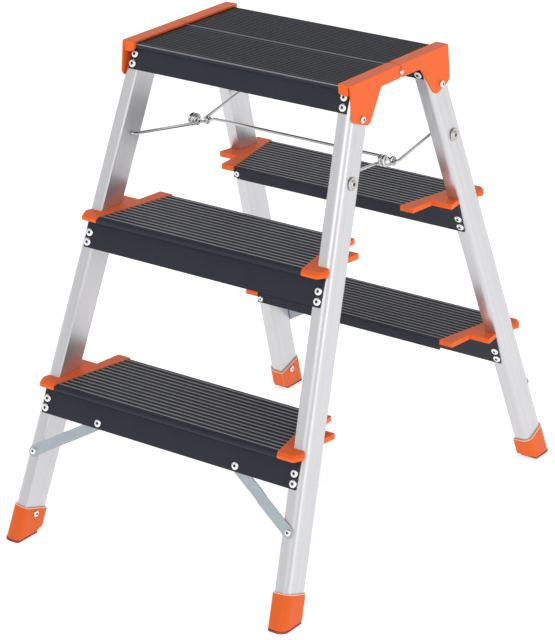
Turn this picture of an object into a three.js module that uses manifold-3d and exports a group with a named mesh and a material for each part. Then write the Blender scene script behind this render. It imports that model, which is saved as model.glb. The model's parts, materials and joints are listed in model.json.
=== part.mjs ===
// Double-sided folding step ladder: two mirror frames of splayed aluminium stiles,
// ribbed treads and a split platform, hinged at the middle of the platform and
// held open by a wire spreader. Millimetres, +Z up, the ground at z = 0,
// the front frame towards -Y.
import * as THREE from 'three';
import { mergeVertices } from 'three/addons/utils/BufferGeometryUtils.js';
import Module from 'manifold-3d';

const wasm = await Module();
wasm.setup();

// ---- driving dimensions --------------------------------------------------

const GAP = 0.3;                 // clearance between touching pieces
const PLATFORM_Z = 677;          // standing surface of the platform
const RISE = 225;                // one tread to the next
const LEAN = 0.359;              // outward run of a stile for each millimetre of drop
const SPLAY = 0.081;             // sideways run of a stile for each millimetre of drop

const STILE_X = 173.3;           // stile centre at platform level
const STILE_Y = 79.35;
const STILE_W = 22.6;            // stile section, measured level
const STILE_D = 45.1;
const STILE_WALL = 1.8;
const STILE_OUTER_R = 9.7;       // rounding of its two outer corners
const STILE_INNER_R = 2.4;       // inner corner on the climbing side
const STILE_TOP = PLATFORM_Z - 4;
const STILE_BOTTOM = 9;

const SHEET = 2.2;               // wall of the tread extrusions
const PLATE = 3.2;               // their top plate
const RIB_H = 0.9;
const TREAD_END = 6;             // apron end beyond the stile centre
const TREAD_NOSE = 45.5;         // front of a tread, from the stile centre
const TREAD_BACK = -87.6;        // back edge of a tread
const APRON_DROP = 48.6;
const LEG_DROP = 52.6;
const LIP_DROP = 15.5;
const RIB_PITCH = 9;
const RIB_COUNT = 14;
const RIB_FIRST = 36.5;          // centre line of the front rib
const RIB_W = 3.4;

const TRIM_FRONT = -21;          // end of a tread's top plate at its nose, from the stile centre
const TRIM_BACK = -48.6;         // and at its back edge

const CAP_TOP = 0.6;
const CAP_T = 7.5;
const CAP_NOSE_T = 7.8;
const CAP_NOSE_R = 4;
const CAP_PROW = 6;              // how far the nose's outer side draws in towards the front
const CAP_BEVEL = 3.6;           // width of the slope round the nose's upper edge

const HALF_NOSE = 113;           // front edge of a platform half, from the hinge plane
const HALF_DROP = 36;
const HALF_PITCH = 6.2;
const HALF_RIBS = 16;
const HALF_RIB_W = 2.6;
const HALF_RIB_H = 0.6;

const PIN_Z = PLATFORM_Z - 7.4;  // hinge axis
const PIN_R = 2.6;
const LUG_R = 6;
const LUG_PROUD = 0.6;           // the outer lug stands out as far as the slanted arm there
const BRACKET_T = 2.6;
const SEAM = 1.8;                // gap between the two brackets of one side, when open
const BRACKET_TOP = 3;
const BRACKET_IN = 167.5;        // inner edge of the bracket's top strip
const BRACKET_NOSE = 118.6;
const BRACKET_X = STILE_X + STILE_W / 2 + GAP;   // inner face of its side plate

const FOOT_WALL = 2.2;
const FOOT_TOP = 42;
const SOLE_T = 3;
const SOLE_BACK = -17;           // the sole ends where the heel starts to rise

const STRAP_W = 16;
const STRAP_T = 1.8;
const STRAP_RIVET_X = 117;       // rivet in the apron
const STRAP_RIVET_DROP = 49.7;   // its axis below the tread's top, at the stile's centre line
const STRAP_FOOT_DROP = 109.7;   // rivet in the stile, below the same

const PIVOT_Z = PLATFORM_Z - 126;
const WIRE_R = 2.2;
const BAIL_X = 164;              // plane of the bail's legs
const LINK_X = 167.6;            // front end of a link rod
const HOOK_X = 157;              // plane of its eye, round the bail's crossbar
const KNEE_Y = 31;               // axis of the crossbar's ends
const KNEE_Z = PLATFORM_Z - 145;
const EYE_R = 2 * WIRE_R + 0.5;
const COIL_Y = 2.5;              // axis of the coil in a link rod
const COIL_Z = PLATFORM_Z - 136.2;
const COIL_R = 6.4;
const COIL_IN = 152;
const COIL_OUT = 165;
const COIL_START = 220;          // where the rod meets the coil, in degrees from +Y towards +Z
const COIL_TURNS = 2.18;
const COIL_STEPS = 12;           // straight runs per turn

const ARC_STEPS = 6;
const WIRE_SIDES = 8;

const stileX = (z) => STILE_X + SPLAY * (PLATFORM_Z - z);
const stileY = (z) => STILE_Y + LEAN * (PLATFORM_Z - z);
const TREAD_LEVELS = { middle: PLATFORM_Z - RISE, lower: PLATFORM_Z - 2 * RISE };

// ---- materials -------------------------------------------------------------

const finish = (color, roughness, metalness) =>
  new THREE.MeshStandardMaterial({ color, roughness, metalness });
const aluminium = finish(0xc9cace, 0.38, 0.9);
const anthracite = finish(0x2f3138, 0.45, 0.5);
const orange = finish(0xf06432, 0.5, 0);
const zinc = finish(0xaab6be, 0.35, 0.8);
const steel = finish(0xd4d5d4, 0.22, 1);
const rubber = finish(0x5a2430, 0.8, 0);

// ---- solids ----------------------------------------------------------------

function toSolid(geometry) {
  const bare = geometry.index ? geometry.toNonIndexed() : geometry.clone();
  bare.deleteAttribute('normal');
  bare.deleteAttribute('uv');
  const merged = mergeVertices(bare, 1e-4);
  return new wasm.Manifold(new wasm.Mesh({
    numProp: 3,
    vertProperties: new Float32Array(merged.attributes.position.array),
    triVerts: new Uint32Array(merged.index.array),
  }));
}

function toGeometry(solid) {
  const mesh = solid.getMesh();
  const geometry = new THREE.BufferGeometry();
  geometry.setAttribute('position', new THREE.Float32BufferAttribute(mesh.vertProperties, 3));
  geometry.setIndex(new THREE.Uint32BufferAttribute(mesh.triVerts, 1));
  return geometry;
}

// A mirror image across x = 0, with its faces turned back outwards.
function mirrored(geometry) {
  const copy = toGeometry(toSolid(geometry));
  copy.scale(-1, 1, 1);
  const corners = copy.index.array;
  for (let i = 0; i < corners.length; i += 3) {
    [corners[i + 1], corners[i + 2]] = [corners[i + 2], corners[i + 1]];
  }
  copy.computeVertexNormals();
  return copy;
}

function shapeOf(points, hole) {
  const shape = new THREE.Shape(points.map(([x, y]) => new THREE.Vector2(x, y)));
  if (hole) {
    shape.holes.push(new THREE.Path(hole.map(([x, y]) => new THREE.Vector2(x, y))));
  }
  return shape;
}

const extrude = (shape, depth) =>
  new THREE.ExtrudeGeometry(shape, { depth, bevelEnabled: false, curveSegments: ARC_STEPS });

// Outline in X and Y, from height z0 to z1.
function upright(points, z0, z1, hole) {
  return extrude(shapeOf(points, hole), z1 - z0).translate(0, 0, z0);
}

// From one outline at height z0 to another at z1 with as many points.
function loft(lower, upper, z0, z1) {
  const solid = upright(lower, z0, z1);
  const place = solid.attributes.position;
  for (let i = 0; i < place.count; i += 1) {
    if (place.getZ(i) > (z0 + z1) / 2) {
      const gap = ([x, y]) => Math.hypot(x - place.getX(i), y - place.getY(i));
      place.setXY(i, ...upper[lower.findIndex((point) => gap(point) < 1e-3)]);
    }
  }
  return solid;
}

// Outline in Y and Z, from x0 to x1.
function sideways(points, x0, x1) {
  const turn = new THREE.Matrix4().set(
    0, 0, 1, x0,
    1, 0, 0, 0,
    0, 1, 0, 0,
    0, 0, 0, 1,
  );
  return extrude(shapeOf(points), x1 - x0).applyMatrix4(turn);
}

// Slants an upright solid so that it follows a stile; level z stays where it is.
function slanted(geometry, level, splay = SPLAY, lean = LEAN) {
  return geometry.applyMatrix4(new THREE.Matrix4().set(
    1, 0, -splay, splay * level,
    0, 1, -lean, lean * level,
    0, 0, 1, 0,
    0, 0, 0, 1,
  ));
}

function box(x0, x1, y0, y1, z0, z1) {
  return new THREE.BoxGeometry(x1 - x0, y1 - y0, z1 - z0)
    .translate((x0 + x1) / 2, (y0 + y1) / 2, (z0 + z1) / 2);
}

// Points on an arc about (cx, cy), angles in degrees.
function arc(cx, cy, r, from, to, steps = ARC_STEPS) {
  return Array.from({ length: steps + 1 }, (_, k) => {
    const a = THREE.MathUtils.degToRad(from + (to - from) * k / steps);
    return [cx + r * Math.cos(a), cy + r * Math.sin(a)];
  });
}

// The stile's level outline about its own centre, grown by `extra`; +x is the ladder's side.
function stileOutline(extra) {
  const x = STILE_W / 2 + extra;
  const y = STILE_D / 2 + extra;
  const r = Math.max(STILE_OUTER_R + extra, 1);
  const s = Math.max(STILE_INNER_R + extra, 0.4);
  return [
    ...arc(x - r, y - r, r, 0, 90),
    ...arc(-x + s, y - s, s, 90, 180, 3),
    [-x, -y],
    ...arc(x - r, -y + r, r, -90, 0),
  ];
}

// A turned piece whose axis points along +X; profile holds [radius, along] pairs.
function turned(profile, sides = 16) {
  const points = profile.map(([r, along]) => new THREE.Vector2(r, along));
  return new THREE.LatheGeometry(points, sides).rotateZ(-Math.PI / 2);
}

// Straight runs of wire from point to point, each a little longer so that the bends close.
function straightRuns(points) {
  return points.slice(1).map((end, i) => {
    const run = new THREE.Vector3().subVectors(end, points[i]);
    const middle = new THREE.Vector3().addVectors(end, points[i]).multiplyScalar(0.5);
    const turn = new THREE.Quaternion().setFromUnitVectors(
      new THREE.Vector3(0, 1, 0), run.clone().normalize(),
    );
    return new THREE.CylinderGeometry(WIRE_R, WIRE_R, run.length() + WIRE_R, WIRE_SIDES)
      .applyQuaternion(turn)
      .translate(middle.x, middle.y, middle.z);
  });
}

function join(geometries) {
  return geometries.map(toSolid).reduce((all, next) => all.add(next));
}

const ladder = new THREE.Group();

function place(parent, name, geometry, material, position = [0, 0, 0]) {
  geometry.computeVertexNormals();
  const mesh = new THREE.Mesh(geometry, material);
  mesh.name = name;
  mesh.position.set(...position);
  parent.add(mesh);
  return mesh;
}

// ---- stiles ----------------------------------------------------------------

// Hollow D-section, open at both ends, drilled for its rivets, screws and spreader pivot.
function stileSolid(pivotHole) {
  const tubeBody = toSolid(slanted(
    upright(stileOutline(0), STILE_BOTTOM, STILE_TOP, stileOutline(-STILE_WALL)),
    PLATFORM_Z,
  ));
  const drill = (z, r, from, to) => toSolid(
    turned([[0, from], [r, from], [r, to], [0, to]]).translate(0, stileY(z) - STILE_Y, z),
  );
  const outside = stileX(PIVOT_Z) - STILE_X;
  let stile = tubeBody
    .subtract(drill(PIVOT_Z, 3.6, outside, outside + STILE_W))
    .subtract(drill(BRACKET_RIVET_Z, RIVET_R + GAP, 2, STILE_W));
  if (pivotHole) {
    stile = stile.subtract(drill(PIVOT_Z, WIRE_R + 2 * GAP, outside - STILE_W, outside));
  }
  return toGeometry(stile).translate(STILE_X, STILE_Y, 0);
}

// ---- treads and platform -----------------------------------------------------

// Leaning wall parallel to the stiles: its outline across `near`..`far`, from z0 down to z1.
const wall = (near, far, z0, z1) => [
  [near - LEAN * z0, z0], [near - LEAN * z1, z1], [far - LEAN * z1, z1], [far - LEAN * z0, z0],
];

// Flat-topped ribs on the top plate, from the outside in.
function ribs(first, pitch, count, width, height = RIB_H) {
  return Array.from({ length: count }, (_, k) => {
    const y = first - pitch * k;
    const half = width / 2;
    return [[y + half, -height], [y + half - 0.5, 0], [y - half + 0.5, 0], [y - half, -height]];
  }).flat();
}

const FACE = STILE_D / 2 + GAP;  // a leaning wall's near face, from the stile centre

// Section of a tread about the stile centre at its own level: ribbed plate, bull nose,
// tall apron on the climbing side, leg behind the stile and a short lip at the back.
function treadOutline() {
  const [apronIn, apronLow, apronLowOut] = wall(FACE, FACE + SHEET, -PLATE, -APRON_DROP);
  const noseZ = 9.5;
  const [legOut, legLow, legLowIn, legIn] = wall(-FACE, -FACE - SHEET, -PLATE, -LEG_DROP);
  const r = 4.5;
  return [
    ...ribs(RIB_FIRST, RIB_PITCH, RIB_COUNT, RIB_W),
    [TREAD_BACK + 1, -RIB_H],
    [TREAD_BACK, -RIB_H - 1],
    [TREAD_BACK, -LIP_DROP],
    [TREAD_BACK + SHEET, -LIP_DROP],
    [TREAD_BACK + SHEET, -PLATE],
    legIn, legLowIn, legLow, legOut,
    apronIn, apronLow, apronLowOut,
    [FACE + SHEET + LEAN * noseZ, -noseZ],
    [TREAD_NOSE - 3, -noseZ],
    ...arc(TREAD_NOSE - r, -r - RIB_H, r, -50, 90, 8),
  ];
}

// The top plate ends on a line that closes in towards the back, where the end cap sits;
// the apron and the leg run on across the stile.
function treadGeometry(level) {
  const centre = stileX(level);
  const end = centre + TREAD_END;
  const trim = [
    [centre + TRIM_FRONT, TREAD_NOSE + 0.1], [centre + TRIM_BACK, TREAD_BACK],
    [centre + TRIM_BACK, TREAD_BACK - 5], [end + 5, TREAD_BACK - 5], [end + 5, TREAD_NOSE + 5],
    [centre + TRIM_FRONT, TREAD_NOSE + 5],
  ].reverse();
  const notch = join([
    upright(trim, -CAP_NOSE_T - 0.6, 5),
    box(centre + TRIM_BACK, end + 5, TREAD_BACK - 5, -STILE_D / 2 - 30, -LIP_DROP - 2, -CAP_NOSE_T),
  ]);
  const bar = toSolid(sideways(treadOutline(), -end, end));
  const strapHole = level === TREAD_LEVELS.lower;
  let tread = bar.subtract(notch).subtract(toSolid(mirrored(toGeometry(notch))));
  if (strapHole) {
    for (const side of [-1, 1]) {
      tread = tread.subtract(faceDrill(side * STRAP_RIVET_X, -STRAP_RIVET_DROP, 10, 40));
    }
  }
  return toGeometry(tread);
}

// Section of a platform half about the hinge plane.
function halfOutline() {
  const near = STILE_Y + FACE;
  const [apronIn, apronLow, apronLowOut] = wall(near, near + SHEET, -PLATE, -HALF_DROP);
  const back = STILE_Y - FACE;
  const [legOut, legLow, legLowIn, legIn] = wall(back, back - SHEET, -PLATE, -HALF_DROP);
  const noseZ = 7.5;
  const r = 3.2;
  return [
    ...arc(HALF_NOSE - r, -r, r, 0, 90),
    [HALF_NOSE - r - 2.2, 0], [HALF_NOSE - r - 2.7, -HALF_RIB_H],
    ...ribs(HALF_NOSE - 10.5, HALF_PITCH, HALF_RIBS, HALF_RIB_W, HALF_RIB_H),
    [3.1, -HALF_RIB_H], [2.6, 0], [GAP / 2, 0],
    [GAP / 2, -7], [GAP / 2 + SHEET, -7], [GAP / 2 + SHEET, -PLATE],
    legIn, legLowIn, legLow, legOut,
    apronIn, apronLow, apronLowOut,
    [near + SHEET + LEAN * noseZ, -noseZ],
    [HALF_NOSE - 1.5, -noseZ], [HALF_NOSE, -noseZ + 1.5],
  ];
}

// ---- end caps ----------------------------------------------------------------

// Right-hand cap about the stile centre at its tread's level: a nose in front of the
// stile, a strip along its inner side and a lobe behind it.
function capGeometry() {
  const slope = (TRIM_BACK - TRIM_FRONT) / (TREAD_BACK - TREAD_NOSE);
  const edge = (y) => TRIM_FRONT + slope * (y - TREAD_NOSE) + GAP;
  const front = TREAD_NOSE + 0.6;
  const back = TREAD_BACK - 0.6;
  const outer = STILE_W / 2 + 1.2;
  const turn = 30;
  const setBack = CAP_PROW / Math.tan(THREE.MathUtils.degToRad(turn));
  const noseOutline = (inset) => [
    [edge(front - inset), front - inset],
    ...arc(outer - CAP_PROW - CAP_NOSE_R, front - CAP_NOSE_R, CAP_NOSE_R - inset, 90, turn, 4),
    ...arc(outer - CAP_NOSE_R, front - CAP_NOSE_R - setBack, CAP_NOSE_R - inset, turn, 0, 2),
    [outer - 4 - inset / 2, STILE_D / 2],
    [-STILE_W / 2 + 2, STILE_D / 2],
  ];
  const plan = [
    ...noseOutline(CAP_BEVEL), [-STILE_W / 2 + 2, -STILE_D / 2],
    [6, -STILE_D / 2],
    ...arc(7.2, -44, 1.6, 0, -90, 3),
    [-23, -45.6], [-27, back], [edge(back), back],
  ].reverse();
  const brow = CAP_TOP - CAP_BEVEL - 0.4;
  const stilePath = slanted(upright(stileOutline(GAP), -30, 30), 0);
  const cap = toSolid(upright(plan, -CAP_T + CAP_TOP, CAP_TOP))
    .add(toSolid(upright(noseOutline(0).reverse(), -CAP_NOSE_T, brow)))
    .add(toSolid(loft(noseOutline(0), noseOutline(CAP_BEVEL), brow, CAP_TOP)))
    .subtract(toSolid(stilePath));
  return toGeometry(cap);
}

// ---- hinge brackets ------------------------------------------------------------

const RIVET_R = 2.4;
const RIVET_HEAD_R = 5.2;
const RIVET_HEAD_H = 1.8;
const BRACKET_RIVET_Z = PLATFORM_Z - 46.6;

// Right-hand bracket: a top strip over the platform's end, a nose on its front edge, an arm
// to the hinge and a leg down the stile. The outer arm ends in the lug, or is scooped out
// around the other bracket's lug while an inner tongue carries its own.
function bracketGeometry(outerLug) {
  const top = BRACKET_TOP;
  const pin = PIN_Z - PLATFORM_Z;
  const face = BRACKET_NOSE - 0.8;
  const armLow = -14.5;
  const armIn = BRACKET_X - BRACKET_T - GAP;
  const armOut = BRACKET_X + BRACKET_T;
  const leg = [
    [38, top], [38, armLow],
    ...arc(44, armLow - 7, 7, 90, 36, 3),
    ...arc(84.3, -46.2, 11, 216, 290),
    ...arc(face - 10, -38.9, 10, 290, 360),
    ...arc(face - 3, top - 3, 3, 0, 90, 3),
  ].reverse();
  const arm = [[SEAM / 2, top], [SEAM / 2, pin], [2.8, armLow], [44, armLow], [44, top]];
  const lug = arc(0, pin, LUG_R, 0, 360, 24).slice(0, -1);
  const scoop = arc(0, pin, LUG_R + 0.5, 0, 360, 24).slice(0, -1);
  const layers = outerLug
    ? { lugFrom: BRACKET_X, lugTo: armOut + LUG_PROUD, scoopFrom: armIn - 1, scoopTo: BRACKET_X - GAP / 2 }
    : { lugFrom: armIn, lugTo: armIn + BRACKET_T, scoopFrom: BRACKET_X - GAP / 2, scoopTo: armOut + 5 };
  const strip = box(BRACKET_IN, armOut - 0.3, SEAM / 2, face, GAP, top);
  const noseEnd = BRACKET_X - 1.3;
  const nose = upright([
    [BRACKET_IN, HALF_NOSE + GAP], [noseEnd, HALF_NOSE + GAP],
    [noseEnd, BRACKET_NOSE], [BRACKET_IN + 1.5, BRACKET_NOSE], [BRACKET_IN, BRACKET_NOSE - 1.5],
  ], -11, top);
  const noseRound = sideFillet();
  let body = join([
    slanted(sideways(leg, BRACKET_X, armOut), 0, SPLAY, 0),
    slanted(sideways(arm, armIn, armOut), 0, SPLAY, 0),
    strip,
    nose,
  ]).subtract(noseRound);
  body = body
    .subtract(toSolid(sideways(scoop, layers.scoopFrom, layers.scoopTo)))
    .add(toSolid(sideways(lug, layers.lugFrom, layers.lugTo)))
    .subtract(toSolid(slanted(upright(stileOutline(GAP), -80, 0), 0).translate(STILE_X, STILE_Y, 0)))
    .subtract(toSolid(turned([[0, -5], [PIN_R + GAP, -5], [PIN_R + GAP, 15], [0, 15]], 20)
      .translate(armIn, 0, pin)))
    .subtract(sideDrill(BRACKET_RIVET_Z - PLATFORM_Z, RIVET_R + GAP));
  return toGeometry(body);
}

// Takes the lower inner corner off a bracket's nose.
function sideFillet() {
  const r = 7;
  const corner = [
    [BRACKET_IN - 1, -12], [BRACKET_IN + r, -12],
    ...arc(BRACKET_IN + r, -11 + r, r, 270, 180),
    [BRACKET_IN - 1, -11 + r],
  ];
  const standing = extrude(shapeOf(corner), 12).rotateX(Math.PI / 2);
  return toSolid(standing.translate(0, BRACKET_NOSE + 4, 0));
}

// Cutter across the stile's outer side at a height below the platform.
function sideDrill(z, r) {
  return toSolid(turned([[0, -8], [r, -8], [r, 14], [0, 14]])
    .translate(STILE_X + STILE_W / 2 - SPLAY * z, STILE_Y - LEAN * z, z));
}

// Cutter square to the leaning faces, about the stile centre line at the tread's level.
function faceDrill(x, z, from, to) {
  const cutter = turned([[0, from], [RIVET_R + GAP, from], [RIVET_R + GAP, to], [0, to]])
    .rotateZ(Math.PI / 2)
    .rotateX(Math.atan(LEAN));
  return toSolid(cutter.translate(x, -LEAN * z, z));
}

// ---- feet --------------------------------------------------------------------

const footOutline = () => stileOutline(FOOT_WALL + GAP);

// Moulded boot around the stile's end, cut square to the stile at its top.
function footGeometry() {
  const boot = toSolid(slanted(upright(footOutline(), SOLE_T + GAP, FOOT_TOP + 30), 0));
  const socket = toSolid(slanted(upright(stileOutline(GAP), STILE_BOTTOM - GAP, 100), 0));
  const reach = 60;
  const above = new THREE.BoxGeometry(2 * reach, 2 * reach, 2 * reach)
    .translate(0, 0, reach)
    .applyMatrix4(new THREE.Matrix4().set(
      1, 0, 0, 0,
      0, 1, 0, 0,
      SPLAY, LEAN, 1, 0,
      0, 0, 0, 1,
    ))
    .translate(-SPLAY * FOOT_TOP, -LEAN * FOOT_TOP, FOOT_TOP);
  const heel = sideways([
    [-60, -1], [SOLE_BACK, -1], [SOLE_BACK, SOLE_T], [-21.5, SOLE_T + 2.6], [-60, 14],
  ], -40, 40);
  return toGeometry(boot
    .subtract(socket)
    .subtract(toSolid(above))
    .subtract(toSolid(heel))
    .subtract(footDrill()));
}

const FOOT_SCREW_Z = 33;

// Hole for the screw through the boot's inner side.
function footDrill() {
  return toSolid(turned([[0, -20], [RIVET_R, -20], [RIVET_R, -2], [0, -2]])
    .translate(-SPLAY * FOOT_SCREW_Z, -LEAN * FOOT_SCREW_Z, FOOT_SCREW_Z));
}

function soleGeometry() {
  const reach = STILE_W / 2 + FOOT_WALL + 5 * GAP;
  const pad = toSolid(upright(footOutline(), 0, SOLE_T));
  const heel = toSolid(box(-reach, reach, -STILE_D, SOLE_BACK + GAP, -1, SOLE_T + 1));
  return toGeometry(pad.subtract(heel));
}

// ---- fasteners -----------------------------------------------------------------

// Domed head with a shank behind it; the head's underside is at 0 and it points along +X.
function rivet(shank, headR = RIVET_HEAD_R, headH = RIVET_HEAD_H, shankR = RIVET_R) {
  return turned([
    [0, -shank], [shankR, -shank], [shankR, 0], [headR, 0], [headR, headH * 0.35],
    [headR * 0.7, headH * 0.9], [headR * 0.35, headH], [0, headH * 0.6],
  ], 12);
}

// Pivot screw: washer, domed head with a hexagon recess, and its shank.
function pivotScrew() {
  const body = toSolid(turned([
    [0, -16], [3.2, -16], [3.2, 0], [8.5, 0], [8.5, 1.2], [5.8, 1.2],
    [5.6, 2.6], [4, 3.9], [0, 4.2],
  ], 20));
  const recess = turned([[0, 2], [2.3, 2], [2.3, 6], [0, 6]], 6);
  return toGeometry(body.subtract(toSolid(recess)));
}

function hingePin() {
  const inner = BRACKET_X - BRACKET_T - GAP;
  const outer = BRACKET_X + BRACKET_T + LUG_PROUD;
  return turned([
    [0, inner - 2.2], [3.6, inner - 2.2], [3.9, inner - GAP], [PIN_R, inner - GAP],
    [PIN_R, outer + GAP], [4.1, outer + GAP], [3.7, outer + 1.9], [0, outer + 2.3],
  ], 20);
}

// ---- lower braces -----------------------------------------------------------------

// Flat strap from behind the lower tread's apron to the stile's outer face. Its plan runs
// along the leaning plane; it steps outwards once below the apron.
function strapGeometry() {
  const level = TREAD_LEVELS.lower;
  const slope = Math.atan(LEAN);
  const fromX = STRAP_RIVET_X;
  const toX = stileX(level - STRAP_FOOT_DROP) - 1;
  const runX = toX - fromX;
  const runDown = (STRAP_FOOT_DROP - STRAP_RIVET_DROP) / Math.cos(slope);
  const length = Math.hypot(runX, runDown);
  const behind = FACE - GAP - GAP - STRAP_T;
  const before = FACE;
  const scale = Math.cos(slope);
  const [t0, t1] = [behind * scale, before * scale];
  const profile = [
    [-20, t0], [50, t0], [62, t1], [length + 20, t1],
    [length + 20, t1 + STRAP_T], [61.4, t1 + STRAP_T], [49.4, t0 + STRAP_T], [-20, t0 + STRAP_T],
  ];
  const bar = extrude(shapeOf(profile), 2 * STRAP_W).translate(0, 0, -STRAP_W);
  const plan = [
    ...arc(0, 0, STRAP_W / 2, 90, 270, 10), ...arc(length, 0, STRAP_W / 2, -90, 90, 10),
  ];
  const outline = extrude(shapeOf(plan), 60).rotateX(Math.PI / 2).translate(0, 50, 0);
  const hole = (s) => toSolid(new THREE.CylinderGeometry(RIVET_R + GAP, RIVET_R + GAP, 80, 14)
    .translate(s, 20, 0));
  const strap = toSolid(bar).intersect(toSolid(outline)).subtract(hole(0)).subtract(hole(length));
  return toGeometry(strap)
    .rotateY(Math.atan2(runDown, runX))
    .rotateX(slope)
    .translate(fromX, stileY(level - STRAP_RIVET_DROP), level - STRAP_RIVET_DROP);
}

// ---- spreader -----------------------------------------------------------------------

const at = (x, y, z) => new THREE.Vector3(x, y, z);

// Bail: one wire from stile to stile, its crossbar raised between the two eyes.
function bailGeometry() {
  const pivotY = stileY(PIVOT_Z);
  const side = (s) => [
    at(s * (BAIL_X + 11), pivotY, PIVOT_Z),
    at(s * (BAIL_X + 1), pivotY, PIVOT_Z),
    at(s * BAIL_X, pivotY - 1.5, PIVOT_Z - 0.3),
    at(s * BAIL_X, KNEE_Y + 2, KNEE_Z + 0.4),
    at(s * (BAIL_X - 2), KNEE_Y, KNEE_Z),
    at(s * (HOOK_X - 5), KNEE_Y, KNEE_Z),
    at(s * (HOOK_X - 10), KNEE_Y, KNEE_Z + 3),
  ];
  return toGeometry(join(straightRuns([...side(1), ...side(-1).reverse()])));
}

// Link rod: one wire from the front stile through a coil to an eye round the crossbar.
function linkGeometry() {
  const steps = Math.round(COIL_TURNS * COIL_STEPS);
  const coil = Array.from({ length: steps + 1 }, (_, k) => {
    const t = k / steps;
    const angle = THREE.MathUtils.degToRad(COIL_START + 360 * COIL_TURNS * t);
    return at(COIL_IN + (COIL_OUT - COIL_IN) * t,
      COIL_Y + COIL_R * Math.cos(angle), COIL_Z + COIL_R * Math.sin(angle));
  });
  const eye = new THREE.TorusGeometry(EYE_R, WIRE_R, 6, 12)
    .rotateY(Math.PI / 2)
    .translate(HOOK_X, KNEE_Y, KNEE_Z);
  const rod = straightRuns([
    at(LINK_X, -stileY(PIVOT_Z), PIVOT_Z), ...coil, at(HOOK_X, KNEE_Y - EYE_R, KNEE_Z),
  ]);
  return toGeometry(join([eye, ...rod]));
}

// ---- assembly -------------------------------------------------------------------------

// One frame, climbing side towards its own +Y; `sides` names its +X and -X ends.
function buildFrame(end, sides) {
  const frame = new THREE.Group();
  const pair = (name, geometry, material, [x, y, z] = [0, 0, 0]) => {
    place(frame, `${end}_${sides[0]}_${name}`, geometry, material, [x, y, z]);
    place(frame, `${end}_${sides[1]}_${name}`, mirrored(geometry), material, [-x, y, z]);
  };

  pair('stile', stileSolid(end === 'rear'), aluminium);
  for (const [name, level] of Object.entries(TREAD_LEVELS)) {
    place(frame, `${end}_${name}_tread`, treadGeometry(level), anthracite, [0, stileY(level), level]);
    pair(`${name}_cap`, capGeometry(), orange, [stileX(level), stileY(level), level]);
  }
  const reach = STILE_X + TREAD_END;
  place(frame, `${end}_platform`, sideways(halfOutline(), -reach, reach), anthracite,
    [0, 0, PLATFORM_Z]);
  pair('bracket', bracketGeometry(end === 'front'), orange, [0, 0, PLATFORM_Z]);

  const ground = [stileX(0), stileY(0), 0];
  pair('foot', footGeometry(), orange, ground);
  pair('sole', soleGeometry(), rubber, ground);
  pair('foot_screw', rivet(3, 4.2, 1.6, 2).rotateZ(Math.PI).translate(
    -STILE_W / 2 - FOOT_WALL - 4 * GAP, 0, 0,
  ), steel, [stileX(FOOT_SCREW_Z), stileY(FOOT_SCREW_Z), FOOT_SCREW_Z]);

  const lower = TREAD_LEVELS.lower;
  pair('strap', strapGeometry(), zinc);
  const outwards = Math.atan(LEAN);
  const square = (geometry) => geometry.rotateZ(Math.PI / 2).rotateX(outwards);
  const faceRivet = (x, z, offset, shank) => {
    const geometry = square(rivet(shank).translate(offset * Math.cos(outwards), 0, 0));
    return [geometry, [x, stileY(z), z]];
  };
  const [tieRivet, tiePlace] = faceRivet(STRAP_RIVET_X, lower - STRAP_RIVET_DROP, FACE + SHEET + GAP, 6);
  pair('strap_tread_rivet', tieRivet, steel, tiePlace);
  const footZ = lower - STRAP_FOOT_DROP;
  const [baseRivet, basePlace] = faceRivet(stileX(footZ) - 1, footZ, FACE + STRAP_T + 2 * GAP, 1.6);
  pair('strap_stile_rivet', baseRivet, steel, basePlace);

  const skin = STILE_W / 2;
  pair('bracket_rivet', rivet(6.5).translate(skin + GAP + BRACKET_T + 3 * GAP, 0, 0), steel,
    [stileX(BRACKET_RIVET_Z), stileY(BRACKET_RIVET_Z), BRACKET_RIVET_Z]);
  pair('pivot_screw', pivotScrew().translate(skin + 1.1, 0, 0), steel,
    [stileX(PIVOT_Z), stileY(PIVOT_Z), PIVOT_Z]);
  return frame;
}

const front = buildFrame('front', ['left', 'right']);
front.rotation.z = Math.PI;
ladder.add(front, buildFrame('rear', ['right', 'left']));

for (const [name, side] of [['right', 1], ['left', -1]]) {
  const pin = hingePin();
  const link = linkGeometry();
  place(ladder, `${name}_hinge_pin`, side > 0 ? pin : mirrored(pin), steel, [0, 0, PIN_Z]);
  place(ladder, `${name}_link_rod`, side > 0 ? link : mirrored(link), steel);
}
place(ladder, 'spreader_bail', bailGeometry(), steel);

export default ladder;
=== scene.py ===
"""Looks of a double-sided folding step ladder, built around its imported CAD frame.

Metres, +Z up, the front frame towards -Y. The CAD nodes keep their shapes and get rounded
edges and materials; the rivets, screws and spreader wires are modelled here in full.
"""
import json
import math

import bmesh
import bpy
from mathutils import Matrix, Vector

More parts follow.
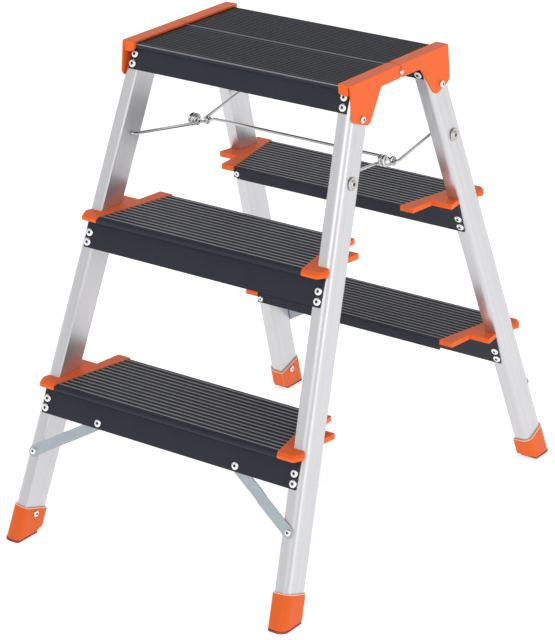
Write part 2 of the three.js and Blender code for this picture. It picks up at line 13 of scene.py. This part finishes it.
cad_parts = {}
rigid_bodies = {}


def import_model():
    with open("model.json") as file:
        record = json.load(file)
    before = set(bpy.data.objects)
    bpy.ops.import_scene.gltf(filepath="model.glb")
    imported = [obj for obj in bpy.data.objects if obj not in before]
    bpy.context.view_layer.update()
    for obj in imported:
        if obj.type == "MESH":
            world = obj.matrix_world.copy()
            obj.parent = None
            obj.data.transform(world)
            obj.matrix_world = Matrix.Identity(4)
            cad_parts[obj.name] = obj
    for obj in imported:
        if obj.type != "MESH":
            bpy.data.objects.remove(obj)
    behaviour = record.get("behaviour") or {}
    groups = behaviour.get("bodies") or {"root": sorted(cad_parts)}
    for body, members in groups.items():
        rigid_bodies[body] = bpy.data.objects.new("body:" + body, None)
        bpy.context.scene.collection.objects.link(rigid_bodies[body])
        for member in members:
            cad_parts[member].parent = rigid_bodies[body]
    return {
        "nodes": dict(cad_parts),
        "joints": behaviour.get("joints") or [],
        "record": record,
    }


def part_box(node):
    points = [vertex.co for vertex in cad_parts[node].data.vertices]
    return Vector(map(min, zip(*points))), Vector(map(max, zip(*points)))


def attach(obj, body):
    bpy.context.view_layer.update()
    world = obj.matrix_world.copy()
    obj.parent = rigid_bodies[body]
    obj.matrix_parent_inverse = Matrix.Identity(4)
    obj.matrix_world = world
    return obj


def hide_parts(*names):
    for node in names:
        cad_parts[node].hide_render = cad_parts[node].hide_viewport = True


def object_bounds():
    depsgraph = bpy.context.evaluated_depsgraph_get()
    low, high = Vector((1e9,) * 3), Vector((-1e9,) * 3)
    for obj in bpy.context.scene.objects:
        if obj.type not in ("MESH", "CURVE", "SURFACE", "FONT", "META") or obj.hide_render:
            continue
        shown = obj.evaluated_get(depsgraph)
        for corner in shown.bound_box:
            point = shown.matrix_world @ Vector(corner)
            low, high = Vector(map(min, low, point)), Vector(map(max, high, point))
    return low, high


for leftover in list(bpy.data.objects):
    bpy.data.objects.remove(leftover)

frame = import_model()
NODES = frame["nodes"]
SLOT_OF = {part["node"]: part["material_slot"] for part in frame["record"]["subparts"]}


def plain_box():
    return [[float(v) for v in corner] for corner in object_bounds()]


CAD_BOX = plain_box()

# ---- sizes -----------------------------------------------------------------------------------

STILE_W = 0.0226                 # level section of a stile
STILE_D = 0.0451
TREAD_FACE = 0.0252              # outer face of an apron, from the stile's centre line
LEG_FACE = 0.0251                # inner face of the leg behind the stile, the same way
RIVET_R = 0.0056
RIVET_H = 0.0021
RIVET_INSET = 0.0022             # rivets' axes, inwards from the stile's centre line
LIP_RIVET_R = 0.0042
LIP_RIVET_INSET = 0.0052         # from the lip's end
LIP_RIVET_DROP = 0.0098          # from the tread's top
CAD_RIVET_H = 0.0018             # heads of the fasteners in the CAD frame
CAD_FOOT_SCREW_H = 0.0016
CAD_PIVOT_SCREW_H = 0.0042
SCREW_R = 0.0095
PLATFORM_NOSE = 0.1130           # front edge of a platform half, from the hinge plane
PLATFORM_HIGHLIGHT_W = 0.0011          # width of the painted highlights along its edges
BOOT_HIGHLIGHT_W = 0.0010              # width of the painted highlight along a foot's upper edge

WIRE_R = 0.0022
BAIL_X = 0.1640                  # plane of the bail's legs
BAIL_END = 0.0115                # reach of its ends into the rear stiles
BAIL_RISE = 0.0030               # the crossbar's middle lies higher than its ends
BAIL_BEND = 0.0035
LINK_X = 0.1676                  # a link rod's end at the front stile
LINK_END = 0.0040
LINK_BEND = 0.0030
HOOK_X = 0.1570                  # its hook round the bail's crossbar
HOOK_R = 2 * WIRE_R + 0.0003
HOOK_START = math.radians(200)
HOOK_TURNS = 0.97
COIL_Y = 0.0025                  # axis of its spring coil
COIL_DROP = 0.1362               # below the platform
COIL_R = 0.0064
COIL_TURNS = 2.18
COIL_IN = 0.1520
COIL_OUT = 0.1650
COIL_START = math.radians(220)
COIL_STEPS = 24

CREASE = math.radians(32)        # edges sharper than this stay sharp
BEVELLED = math.radians(34)      # edges sharper than this are rounded

PLATFORM_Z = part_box("front_platform")[1].z
TREAD_Z = {
    "middle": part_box("front_middle_tread")[1].z,
    "lower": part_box("front_lower_tread")[1].z,
}
FRAMES = {"front": -1, "rear": 1}
SIDES = {"left": -1, "right": 1}


def stile_line():
    """Centre of the rear right stile at its two ends, and the run of x and y per metre of drop."""
    low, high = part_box("rear_right_stile")
    top = Vector((low.x + STILE_W / 2, low.y + STILE_D / 2, high.z))
    foot = Vector((high.x - STILE_W / 2, high.y - STILE_D / 2, low.z))
    drop = top.z - foot.z
    return top, (foot.x - top.x) / drop, (foot.y - top.y) / drop


STILE_TOP, SPLAY, LEAN = stile_line()
LEAN_ANGLE = math.atan(LEAN)


def stile_at(z, side=1, end=1):
    """Centre of a stile at height z; side and end are -1 or 1."""
    drop = STILE_TOP.z - z
    return Vector((side * (STILE_TOP.x + SPLAY * drop), end * (STILE_TOP.y + LEAN * drop), z))


# ---- shader helpers --------------------------------------------------------------------------

def new_material(name, color, roughness, metallic=0.0, **sockets):
    """A node material; returns it with its tree and its Principled shader."""
    material = bpy.data.materials.new(name)
    material.use_nodes = True
    shader = material.node_tree.nodes["Principled BSDF"]
    shader.inputs["Base Color"].default_value = (*color, 1)
    shader.inputs["Roughness"].default_value = roughness
    shader.inputs["Metallic"].default_value = metallic
    for socket, value in sockets.items():
        shader.inputs[socket.replace("_", " ")].default_value = value
    return material, material.node_tree, shader


def add_node(tree, kind, inputs=None, **settings):
    node = tree.nodes.new(kind)
    for key, value in settings.items():
        setattr(node, key, value)
    for key, value in (inputs or {}).items():
        if isinstance(value, bpy.types.NodeSocket):
            tree.links.new(value, node.inputs[key])
        else:
            node.inputs[key].default_value = value
    return node


def object_coords(tree):
    return add_node(tree, "ShaderNodeTexCoord").outputs["Object"]


def noise(tree, vector, scale, detail=3.0):
    return add_node(tree, "ShaderNodeTexNoise", {
        "Vector": vector, "Scale": scale, "Detail": detail, "Roughness": 0.55,
    }).outputs["Fac"]


def remap(tree, value, low, high, to_low=0.0, to_high=1.0):
    return add_node(tree, "ShaderNodeMapRange", {
        "Value": value, "From Min": low, "From Max": high, "To Min": to_low, "To Max": to_high,
    }, clamp=True).outputs["Result"]


def math_node(tree, operation, a, b=0.0):
    return add_node(tree, "ShaderNodeMath", {0: a, 1: b}, operation=operation).outputs["Value"]


def mix_color(tree, factor, first, second):
    node = add_node(tree, "ShaderNodeMix", data_type="RGBA")
    for key, value in (("Factor", factor), ("A", first), ("B", second)):
        sockets = [s for s in node.inputs if s.name == key and s.enabled]
        if isinstance(value, bpy.types.NodeSocket):
            tree.links.new(value, sockets[0])
        elif key == "Factor":
            sockets[0].default_value = value
        else:
            sockets[0].default_value = (*value, 1)
    return next(s for s in node.outputs if s.enabled)


def bump(tree, shader, height, strength, distance):
    node = add_node(tree, "ShaderNodeBump", {
        "Height": height, "Strength": strength, "Distance": distance,
    })
    tree.links.new(node.outputs["Normal"], shader.inputs["Normal"])


# ---- materials -------------------------------------------------------------------------------

# painted highlight colour for the platform's front edge and its edge at the hinge plane
GREY_EDGE_HIGHLIGHT = (0.28, 0.28, 0.29)
# painted highlight colour for the upper rims of the feet
PEACH_RIM_HIGHLIGHT = (0.98, 0.66, 0.48)


def stile_aluminium(name, side, end):
    """Satin anodised aluminium with drawing lines along the stile."""
    material, tree, shader = new_material(name, (0.68, 0.68, 0.70), 0.36, 0.85)
    coords = object_coords(tree)
    height = add_node(tree, "ShaderNodeSeparateXYZ", {"Vector": coords}).outputs["Z"]
    stack = add_node(tree, "ShaderNodeCombineXYZ", {"X": height, "Y": height, "Z": height})
    along = add_node(tree, "ShaderNodeVectorMath", {
        0: stack.outputs["Vector"], 1: (side * SPLAY, end * LEAN, -0.985), 2: coords,
    }, operation="MULTIPLY_ADD").outputs["Vector"]
    lines = noise(tree, along, 1500, 4)
    bands = noise(tree, along, 160, 2)
    clouds = noise(tree, coords, 14, 2)
    tone = mix_color(tree, bands, (0.58, 0.58, 0.60), (0.69, 0.69, 0.71))
    tree.links.new(tone, shader.inputs["Base Color"])
    rough = math_node(tree, "ADD", remap(tree, lines, 0.3, 0.7, 0.30, 0.40),
                      remap(tree, clouds, 0.3, 0.7, -0.03, 0.05))
    tree.links.new(rough, shader.inputs["Roughness"])
    bump(tree, shader, lines, 0.10, 0.0002)
    return material


def coated_tread(name, level, ridge, edges=None):
    """Anthracite coating, paler on the ribs' crests: partly worn coating, partly a painted
    highlight.
    `edges` are the (from, to) distances from the hinge plane of the platform's two painted
    edge highlights."""
    material, tree, shader = new_material(name, (0.028, 0.031, 0.042), 0.45,
                                          Specular_IOR_Level=0.14)
    coords = object_coords(tree)
    split = add_node(tree, "ShaderNodeSeparateXYZ", {"Vector": coords})
    # the crests' paleness: partly worn coating, partly a painted highlight on the rib tops
    crest = remap(tree, split.outputs["Z"], level - 0.00042, level - 0.00012)
    wear = remap(tree, noise(tree, coords, 45, 4), 0.25, 0.6, 0.72, 1.0)
    grain = noise(tree, coords, 1800, 3)
    mottle = noise(tree, coords, 30, 3)
    body = mix_color(tree, mottle, (0.025, 0.027, 0.037), (0.033, 0.036, 0.049))
    mask = math_node(tree, "MULTIPLY", crest, wear)
    tone = mix_color(tree, mask, body, ridge)
    if edges:
        # painted highlights: pale bands along the platform's front edge and its edge at the hinge
        # plane
        near = remap(tree, split.outputs["Z"], level - 0.0026, level - 0.0018)
        across = math_node(tree, "ABSOLUTE", split.outputs["Y"])
        for start, stop in edges:
            rise = remap(tree, across, start - 0.0002, start + 0.0002)
            fall = remap(tree, across, stop - 0.0002, stop + 0.0002, 1.0, 0.0)
            rim = math_node(tree, "MULTIPLY", math_node(tree, "MULTIPLY", rise, fall), near)
            tone = mix_color(tree, rim, tone, GREY_EDGE_HIGHLIGHT)
    tree.links.new(tone, shader.inputs["Base Color"])
    rough = math_node(tree, "ADD", remap(tree, grain, 0.3, 0.7, 0.40, 0.50),
                      math_node(tree, "MULTIPLY", mask, -0.08))
    tree.links.new(rough, shader.inputs["Roughness"])
    bump(tree, shader, grain, 0.12, 0.0003)
    return material


def moulded_orange(name, dark, light, rim=None):
    """Glossy moulded plastic with faint flow marks and a fine spark-eroded grain. `rim` is the
    level, measured along the stiles, of an upper edge that gets a painted highlight."""
    material, tree, shader = new_material(name, light, 0.4, Specular_IOR_Level=0.25)
    coords = object_coords(tree)
    flow = noise(tree, coords, 22, 3)
    grain = noise(tree, coords, 1400, 3)
    tone = mix_color(tree, flow, dark, light)
    if rim is not None:
        split = add_node(tree, "ShaderNodeSeparateXYZ", {"Vector": coords})
        across = math_node(tree, "MULTIPLY", math_node(tree, "ABSOLUTE", split.outputs["X"]), SPLAY)
        deep = math_node(tree, "MULTIPLY", math_node(tree, "ABSOLUTE", split.outputs["Y"]), LEAN)
        slope = math_node(tree, "ADD", across, deep)
        level = math_node(tree, "SUBTRACT", split.outputs["Z"], slope)
        # painted highlight: a pale band along the foot's upper rim
        edge = remap(tree, level, rim - BOOT_HIGHLIGHT_W - 0.0003, rim - BOOT_HIGHLIGHT_W)
        tone = mix_color(tree, edge, tone, PEACH_RIM_HIGHLIGHT)
    tree.links.new(tone, shader.inputs["Base Color"])
    tree.links.new(remap(tree, flow, 0.3, 0.7, 0.36, 0.46), shader.inputs["Roughness"])
    bump(tree, shader, grain, 0.08, 0.0002)
    return material


def zinc_plate(name):
    """Bluish zinc plating with a soft spangle."""
    material, tree, shader = new_material(name, (0.44, 0.50, 0.55), 0.38, 0.75)
    coords = object_coords(tree)
    spangle = add_node(tree, "ShaderNodeTexVoronoi", {"Vector": coords, "Scale": 420.0})
    cells = add_node(tree, "ShaderNodeSeparateXYZ", {"Vector": spangle.outputs["Color"]})
    cloud = noise(tree, coords, 90, 4)
    tone = mix_color(tree, cloud, (0.38, 0.44, 0.49), (0.52, 0.58, 0.62))
    tree.links.new(tone, shader.inputs["Base Color"])
    rough = remap(tree, cells.outputs["X"], 0.0, 1.0, 0.33, 0.45)
    tree.links.new(rough, shader.inputs["Roughness"])
    bump(tree, shader, cloud, 0.08, 0.0003)
    return material


def bright_plate(name, color, roughness):
    """Bright plated steel with a faint haze."""
    material, tree, shader = new_material(name, color, roughness, 1.0)
    haze = noise(tree, object_coords(tree), 260, 4)
    rough = remap(tree, haze, 0.3, 0.75, roughness * 0.75, roughness * 1.45)
    tree.links.new(rough, shader.inputs["Roughness"])
    bump(tree, shader, haze, 0.05, 0.0002)
    return material


def dull_rubber(name):
    """Dark red rubber, scuffed grey in patches."""
    material, tree, shader = new_material(name, (0.32, 0.03, 0.04), 0.75)
    coords = object_coords(tree)
    scuff = noise(tree, coords, 120, 5)
    tone = mix_color(tree, remap(tree, scuff, 0.5, 0.75), (0.30, 0.028, 0.036), (0.42, 0.09, 0.09))
    tree.links.new(tone, shader.inputs["Base Color"])
    bump(tree, shader, noise(tree, coords, 900, 3), 0.25, 0.0004)
    return material


BOOT_RIM = max(v.co.z - SPLAY * abs(v.co.x) - LEAN * abs(v.co.y)
               for v in NODES["front_left_foot"].data.vertices)
PLASTIC = moulded_orange("orange_moulding", (0.83, 0.114, 0.010), (0.94, 0.137, 0.015))
# the feet's moulding, with a painted highlight along their upper rims
BOOT = moulded_orange("orange_boot", (0.74, 0.112, 0.010), (0.83, 0.134, 0.015), BOOT_RIM)
# painted highlight: a paler orange for the bevelled edges of the plastic parts
PLASTIC_EDGE_HIGHLIGHT = moulded_orange("orange_edge_highlight", (0.90, 0.34, 0.20), (0.96, 0.46, 0.30))
ZINC = zinc_plate("zinc_plating")
STEEL = bright_plate("bright_steel", (0.60, 0.60, 0.60), 0.13)
SCREW = bright_plate("screw_steel", (0.54, 0.52, 0.49), 0.24)
RIVET = bright_plate("rivet_aluminium", (0.90, 0.90, 0.91), 0.24)
# painted shade: near-black metal in the rivet heads' holes and the pivot screws' central recesses
HOLE_SHADE = bright_plate("painted_hole_shade", (0.05, 0.05, 0.055), 0.45)
RUBBER = dull_rubber("sole_rubber")
TREAD_COAT = {
    # crest tones differ per tread as painted highlight, lighter on the middle tread than the lower
    "middle": coated_tread("coating_middle", TREAD_Z["middle"], (0.33, 0.33, 0.35)),
    "lower": coated_tread("coating_lower", TREAD_Z["lower"], (0.27, 0.27, 0.29)),
    # platform: crests hardly paler than the body, painted highlights along its two edges
    "platform": coated_tread("coating_platform", PLATFORM_Z, (0.028, 0.028, 0.034),
                             [(PLATFORM_NOSE - PLATFORM_HIGHLIGHT_W, PLATFORM_NOSE),
                              (0.0, PLATFORM_HIGHLIGHT_W)]),
}
STILE_METAL = {
    (end, side): stile_aluminium(f"anodised_{end}_{side}", SIDES[side], FRAMES[end])
    for end in FRAMES for side in SIDES
}


# ---- CAD nodes: rounded edges, smooth shading, materials -------------------------------------

def shading_group():
    """Geometry nodes that drop imported normals and shade smoothly except at creases."""
    group = bpy.data.node_groups.new("smooth_by_angle", "GeometryNodeTree")
    group.interface.new_socket("Geometry", in_out="INPUT", socket_type="NodeSocketGeometry")
    group.interface.new_socket("Geometry", in_out="OUTPUT", socket_type="NodeSocketGeometry")
    add = group.nodes.new
    link = group.links.new
    start = add("NodeGroupInput")
    drop = add("GeometryNodeRemoveAttribute")
    drop.inputs["Name"].default_value = "custom_normal"
    faces = add("GeometryNodeSetShadeSmooth")
    faces.domain = "FACE"
    edges = add("GeometryNodeSetShadeSmooth")
    edges.domain = "EDGE"
    edges.inputs["Shade Smooth"].default_value = False
    angle = add("GeometryNodeInputMeshEdgeAngle")
    sharp = add("FunctionNodeCompare")
    sharp.operation = "GREATER_THAN"
    sharp.inputs["B"].default_value = CREASE
    soft = add("GeometryNodeSetShadeSmooth")
    soft.domain = "EDGE"
    end = add("NodeGroupOutput")
    link(start.outputs[0], drop.inputs["Geometry"])
    link(drop.outputs["Geometry"], faces.inputs["Geometry"])
    link(faces.outputs["Geometry"], soft.inputs["Geometry"])
    link(soft.outputs["Geometry"], edges.inputs["Geometry"])
    link(angle.outputs["Unsigned Angle"], sharp.inputs["A"])
    link(sharp.outputs["Result"], edges.inputs["Selection"])
    link(edges.outputs["Geometry"], end.inputs[0])
    return group


SHADING = shading_group()
BEVEL_BY_SLOT = {
    "orange_plastic": 0.0011,
    "anthracite": 0.00018,
    "aluminium": 0.00025,
    "zinc": 0.00035,
    "sole_rubber": 0.0004,
    "bright_steel": 0.00015,
}


def round_edges(obj, width):
    weld = obj.modifiers.new("weld", "WELD")
    weld.merge_threshold = 1e-5
    bevel = obj.modifiers.new("bevel", "BEVEL")
    bevel.width = width
    bevel.segments = 2
    bevel.limit_method = "ANGLE"
    bevel.angle_limit = BEVELLED
    shade = obj.modifiers.new("shade", "NODES")
    shade.node_group = SHADING
    flat = obj.modifiers.new("flat", "WEIGHTED_NORMAL")
    flat.keep_sharp = True


def material_for(node):
    slot = SLOT_OF[node]
    if slot == "aluminium":
        end, side = node.split("_")[:2]
        return STILE_METAL[end, side]
    if slot == "anthracite":
        return TREAD_COAT[next(key for key in TREAD_COAT if key in node)]
    if node.endswith("_foot"):
        return BOOT
    return {"orange_plastic": PLASTIC, "zinc": ZINC, "sole_rubber": RUBBER}.get(slot, STEEL)


for name, obj in NODES.items():
    round_edges(obj, BEVEL_BY_SLOT[SLOT_OF[name]])
    obj.data.materials[0] = material_for(name)
    # the bevels of the plastic parts take the paler orange as painted highlights along the edges
    if SLOT_OF[name] == "orange_plastic":
        obj.data.materials.append(PLASTIC_EDGE_HIGHLIGHT)
        obj.modifiers["bevel"].material = 1


# ---- piece builders --------------------------------------------------------------------------

def new_object(name, mesh, materials, body):
    for material in materials:
        mesh.materials.append(material)
    obj = bpy.data.objects.new(name, mesh)
    bpy.context.scene.collection.objects.link(obj)
    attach(obj, body)
    return obj


def lathe(name, profile, place, materials, body, sides=28, dark_ring=None):
    """Turns a profile of (radius, height) pairs about +Z and puts it at `place`. Faces from
    profile point `dark_ring` inwards take the second material."""
    mesh = bpy.data.meshes.new(name)
    bm = bmesh.new()
    rings = []
    for radius, height in profile:
        if radius == 0:
            rings.append([bm.verts.new((0, 0, height))])
            continue
        rings.append([
            bm.verts.new((radius * math.cos(2 * math.pi * k / sides),
                          radius * math.sin(2 * math.pi * k / sides), height))
            for k in range(sides)
        ])
    for index, (lower, upper) in enumerate(zip(rings, rings[1:])):
        for k in range(sides):
            corners = [lower[k % len(lower)], lower[(k + 1) % len(lower)],
                       upper[(k + 1) % len(upper)], upper[k % len(upper)]]
            face = bm.faces.new(list(dict.fromkeys(corners)))
            face.smooth = True
            face.material_index = int(dark_ring is not None and index >= dark_ring)
    bmesh.ops.recalc_face_normals(bm, faces=bm.faces)
    bm.transform(place)
    bm.to_mesh(mesh)
    bm.free()
    return new_object(name, mesh, materials, body)


def facing(point, normal):
    """Puts a piece turned about +Z at a point, with its head along a direction."""
    return Matrix.Translation(point) @ Vector(normal).to_track_quat("Z", "Y").to_matrix().to_4x4()


def dome(radius, height, hole):
    """Profile of a pop rivet's head: a flange edge, a round dome and the mandrel's hole."""
    steps = 5
    arc = [
        (hole + (radius - hole) * math.cos(a), height * (0.22 + 0.78 * math.sin(a)))
        for a in (math.pi / 2 * k / steps for k in range(steps + 1))
    ]
    return [(0, -0.0004), (radius * 0.98, -0.0004), (radius, height * 0.1), *arc,
            (hole * 0.94, height * 0.92), (hole * 0.8, height * 0.45), (0, height * 0.4)]


def add_rivet(name, point, normal, body, radius=RIVET_R, height=RIVET_H, stands_for=None):
    profile = dome(radius, height, radius * 0.36)
    # the mandrel's hole takes the painted shade
    obj = lathe(name, profile, facing(point, normal), [RIVET, HOLE_SHADE], body,
                dark_ring=len(profile) - 4)
    if stands_for:
        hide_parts(stands_for)
    return obj


# ---- rivets of the treads and platform -------------------------------------------------------

APRON_DROPS = (0.0285, 0.0413)
LEG_DROPS = (0.0320, 0.0450)
PLATFORM_APRON_DROPS = (0.0160, 0.0288)
PLATFORM_LEG_DROPS = (0.0300,)


def extreme_corner(node, direction):
    """The furthest vertex of a CAD node's mesh along a direction."""
    return max((v.co for v in NODES[node].data.vertices), key=lambda co: co.dot(direction))


def add_tread_rivets(label, level, end, drops, face, outwards):
    """A column of rivets through a wall that leans with the stiles, at both its ends."""
    body = f"{end}_frame"
    sign = FRAMES[end]
    lean_normal = Vector((0, sign * math.cos(LEAN_ANGLE), math.sin(LEAN_ANGLE))) * outwards
    for side, x_sign in SIDES.items():
        for number, drop in enumerate(drops, 1):
            point = stile_at(level - drop, x_sign, sign)
            point.x = x_sign * (stile_at(level).x + SPLAY * drop * 0.9 - RIVET_INSET)
            point.y += sign * outwards * face
            add_rivet(f"{end}_{side}_{label}_rivet_{number}", point, lean_normal, body)


def add_lip_rivet(end, tread):
    """The small rivet at one end of a tread's back lip."""
    inwards = Vector((0, -FRAMES[end], 0))
    outwards = Vector((-FRAMES[end], 0, 0))
    corner = extreme_corner(f"{end}_{tread}_tread", inwards * 100 + outwards)
    point = corner - outwards * LIP_RIVET_INSET
    point.z = TREAD_Z[tread] - LIP_RIVET_DROP
    add_rivet(f"{end}_{tread}_lip_rivet", point, inwards, f"{end}_frame",
              LIP_RIVET_R, RIVET_H * 0.7)


for end in FRAMES:
    for tread, level in TREAD_Z.items():
        add_tread_rivets(f"{tread}_apron", level, end, APRON_DROPS, TREAD_FACE, 1)
        add_tread_rivets(f"{tread}_leg", level, end, LEG_DROPS, LEG_FACE, -1)
        add_lip_rivet(end, tread)
    add_tread_rivets("platform_apron", PLATFORM_Z, end, PLATFORM_APRON_DROPS, TREAD_FACE, 1)
    add_tread_rivets("platform_leg", PLATFORM_Z, end, PLATFORM_LEG_DROPS, LEG_FACE, -1)


# ---- rivets and screws that stand for CAD nodes ----------------------------------------------

def centre(node):
    low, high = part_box(node)
    return (low + high) / 2


def head_point(node, normal, height):
    """Where a fastener's axis meets the underside of its head, `height` below its tip."""
    middle = centre(node)
    tip = extreme_corner(node, normal).dot(normal)
    return middle + normal * (tip - middle.dot(normal) - height)


for end, sign in FRAMES.items():
    body = f"{end}_frame"
    leaning = Vector((0, sign * math.cos(LEAN_ANGLE), math.sin(LEAN_ANGLE)))
    for side, x_sign in SIDES.items():
        outward = Vector((x_sign, 0, 0))
        prefix = f"{end}_{side}"
        for kind in ("strap_tread_rivet", "strap_stile_rivet"):
            node = f"{prefix}_{kind}"
            radius = RIVET_R if "tread" in kind else RIVET_R * 0.85
            add_rivet(f"{node}_head", head_point(node, leaning, CAD_RIVET_H), leaning, body,
                      radius, stands_for=node)
        node = f"{prefix}_bracket_rivet"
        add_rivet(f"{node}_head", head_point(node, outward, CAD_RIVET_H), outward, body,
                  RIVET_R * 0.9, stands_for=node)
        node = f"{prefix}_foot_screw"
        add_rivet(f"{node}_head", head_point(node, -outward, CAD_FOOT_SCREW_H), -outward, body,
                  RIVET_R * 0.85, stands_for=node)

PIVOT_PROFILE = [
    (0, -0.0003), (0.0093, -0.0003), (SCREW_R, 0.0003), (0.0092, 0.0010), (0.0084, 0.0012),
    (0.0072, 0.0006), (0.0063, 0.0005), (0.0057, 0.0010), (0.0051, 0.0019), (0.0042, 0.0026),
    (0.0030, 0.0029), (0.0025, 0.0027), (0.0023, 0.0012), (0, 0.0010),
]
for end in FRAMES:
    for side, x_sign in SIDES.items():
        node = f"{end}_{side}_pivot_screw"
        outward = Vector((x_sign, 0, 0))
        place = facing(head_point(node, outward, CAD_PIVOT_SCREW_H), outward)
        # the central recess takes the painted shade
        obj = lathe(f"{node}_head", PIVOT_PROFILE, place, [SCREW, HOLE_SHADE],
                    f"{end}_frame", 40, len(PIVOT_PROFILE) - 3)
        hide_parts(node)


# ---- spreader wires --------------------------------------------------------------------------

def rounded(points, radius, steps=6):
    """A polyline whose inner corners are replaced with arcs of about that radius."""
    path = [points[0]]
    for before, corner, after in zip(points, points[1:], points[2:]):
        reach = min(radius, (corner - before).length * 0.45, (after - corner).length * 0.45)
        start = corner + (before - corner).normalized() * reach
        stop = corner + (after - corner).normalized() * reach
        for k in range(steps + 1):
            t = k / steps
            path.append(start * (1 - t) ** 2 + corner * 2 * t * (1 - t) + stop * t * t)
    return [*path, points[-1]]


def wire(name, path, body):
    curve = bpy.data.curves.new(name, "CURVE")
    curve.dimensions = "3D"
    curve.bevel_depth = WIRE_R
    curve.bevel_resolution = 5
    curve.use_fill_caps = True
    spline = curve.splines.new("POLY")
    spline.points.add(len(path) - 1)
    for point, place in zip(spline.points, path):
        point.co = (*place, 1)
        point.radius = 1
    spline.use_smooth = True
    curve.materials.append(STEEL)
    obj = bpy.data.objects.new(name, curve)
    bpy.context.scene.collection.objects.link(obj)
    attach(obj, body)
    return obj


def helix(axis, radius, start_angle, turns, x_from, x_to):
    """Turns about an axis along X, from x_from to x_to."""
    count = round(turns * COIL_STEPS)
    angles = [start_angle + 2 * math.pi * k / COIL_STEPS for k in range(count + 1)]
    return [
        Vector((x_from + (x_to - x_from) * k / count,
                axis.y + radius * math.cos(angle), axis.z + radius * math.sin(angle)))
        for k, angle in enumerate(angles)
    ]


joints = {joint["name"]: Vector(joint["pos_m"]) for joint in frame["joints"]}
PIVOT = joints["bail_lift"]
KNEE = joints["link_turn"]
COIL = Vector((0, COIL_Y, PLATFORM_Z - COIL_DROP))


def bail_half(x_sign):
    """Route of the bail from a rear stile to the raised middle of its crossbar."""
    return [
        Vector((x_sign * (BAIL_X + BAIL_END), PIVOT.y, PIVOT.z)),
        Vector((x_sign * BAIL_X, PIVOT.y, PIVOT.z)),
        Vector((x_sign * BAIL_X, KNEE.y, KNEE.z)),
        Vector((x_sign * (HOOK_X - 0.0045), KNEE.y, KNEE.z)),
        Vector((x_sign * (HOOK_X - 0.0100), KNEE.y, KNEE.z + BAIL_RISE)),
    ]


bail = wire("spreader_bail_wire",
            rounded([*bail_half(1), *reversed(bail_half(-1))], BAIL_BEND), "spreader_bail")
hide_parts("spreader_bail")

for side, x_sign in SIDES.items():
    rod = rounded([
        Vector((x_sign * (LINK_X + LINK_END), -PIVOT.y, PIVOT.z)),
        Vector((x_sign * LINK_X, -PIVOT.y, PIVOT.z)),
        Vector((x_sign * (LINK_X - 0.0005), -PIVOT.y + 0.004, PIVOT.z - 0.0005)),
    ], LINK_BEND)
    coil = helix(COIL, COIL_R, COIL_START, COIL_TURNS, x_sign * COIL_IN, x_sign * COIL_OUT)
    hook = helix(KNEE, HOOK_R, HOOK_START, HOOK_TURNS,
                 x_sign * (HOOK_X + 0.0018), x_sign * (HOOK_X - 0.0012))
    link = wire(f"{side}_link_rod_wire", [*rod, *coil, *hook], "link_rods")
    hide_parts(f"{side}_link_rod")


# ---- stage: floor, lights, camera ------------------------------------------------------------

def build_floor():
    """A wide pale floor that meets the ladder's soles."""
    mesh = bpy.data.meshes.new("floor")
    bm = bmesh.new()
    bmesh.ops.create_grid(bm, x_segments=4, y_segments=4, size=30)
    bm.to_mesh(mesh)
    bm.free()
    material, tree, shader = new_material("floor_paper", (0.8, 0.8, 0.8), 0.9,
                                          Emission_Color=(1, 1, 1, 1), Emission_Strength=0.62)
    shade = mix_color(tree, noise(tree, object_coords(tree), 3),
                      (0.79, 0.79, 0.79), (0.81, 0.81, 0.81))
    tree.links.new(shade, shader.inputs["Base Color"])
    mesh.materials.append(material)
    floor = bpy.data.objects.new("floor", mesh)
    bpy.context.scene.collection.objects.link(floor)
    floor.location.z = CAD_BOX[0][2] - 0.0003


LIGHTS_AIM = Vector((0, 0, 0.35))


def add_area_light(name, place, size, watts):
    light = bpy.data.lights.new(name, "AREA")
    light.shape = "RECTANGLE"
    light.size, light.size_y = size
    light.energy = watts
    obj = bpy.data.objects.new(name, light)
    obj.location = place
    aim = LIGHTS_AIM - Vector(place)
    obj.rotation_euler = aim.to_track_quat("-Z", "Y").to_euler()
    bpy.context.scene.collection.objects.link(obj)


SKY = ((0.0, 0.62), (0.12, 0.70), (0.22, 0.90), (0.55, 0.80), (0.72, 0.42), (1.0, 0.41))


def light_studio():
    """A bright band of sky above a greyer horizon, a soft box on the right and a weak key."""
    world = bpy.data.worlds.new("studio")
    bpy.context.scene.world = world
    world.use_nodes = True
    tree = world.node_tree
    direction = add_node(tree, "ShaderNodeTexCoord").outputs["Generated"]
    height = add_node(tree, "ShaderNodeSeparateXYZ", {"Vector": direction}).outputs["Z"]
    ramp = add_node(tree, "ShaderNodeValToRGB", {"Fac": height})
    stops = ramp.color_ramp.elements
    for place, _ in SKY[1:-1]:
        stops.new(place)
    for stop, (_, value) in zip(stops, SKY):
        stop.color = (value, value, value, 1)
    tree.links.new(ramp.outputs["Color"], tree.nodes["Background"].inputs["Color"])
    add_area_light("side", (2.9, -0.3, 1.1), (1.8, 2.4), 15)
    add_area_light("key", (0.6, -2.8, 1.9), (1.8, 1.4), 15)
    bpy.context.scene.view_settings.view_transform = "Standard"


CAMERA_PLACE = Vector((1.9552, -2.7395, 1.6623))
CAMERA_AZIMUTH = math.radians(34.94)
CAMERA_DOWN = math.radians(22.354)
CAMERA_LENS = 144.6
CAMERA_SHIFT = (-0.0506, -0.0067)


def place_camera():
    camera = bpy.data.cameras.new("camera")
    camera.sensor_fit = "AUTO"
    camera.sensor_width = 36
    camera.lens = CAMERA_LENS
    camera.shift_x, camera.shift_y = CAMERA_SHIFT
    camera.clip_end = 100
    obj = bpy.data.objects.new("camera", camera)
    obj.location = CAMERA_PLACE
    obj.rotation_euler = (math.pi / 2 - CAMERA_DOWN, 0, CAMERA_AZIMUTH)
    bpy.context.scene.collection.objects.link(obj)
    bpy.context.scene.camera = obj


build_floor()
light_studio()
place_camera()
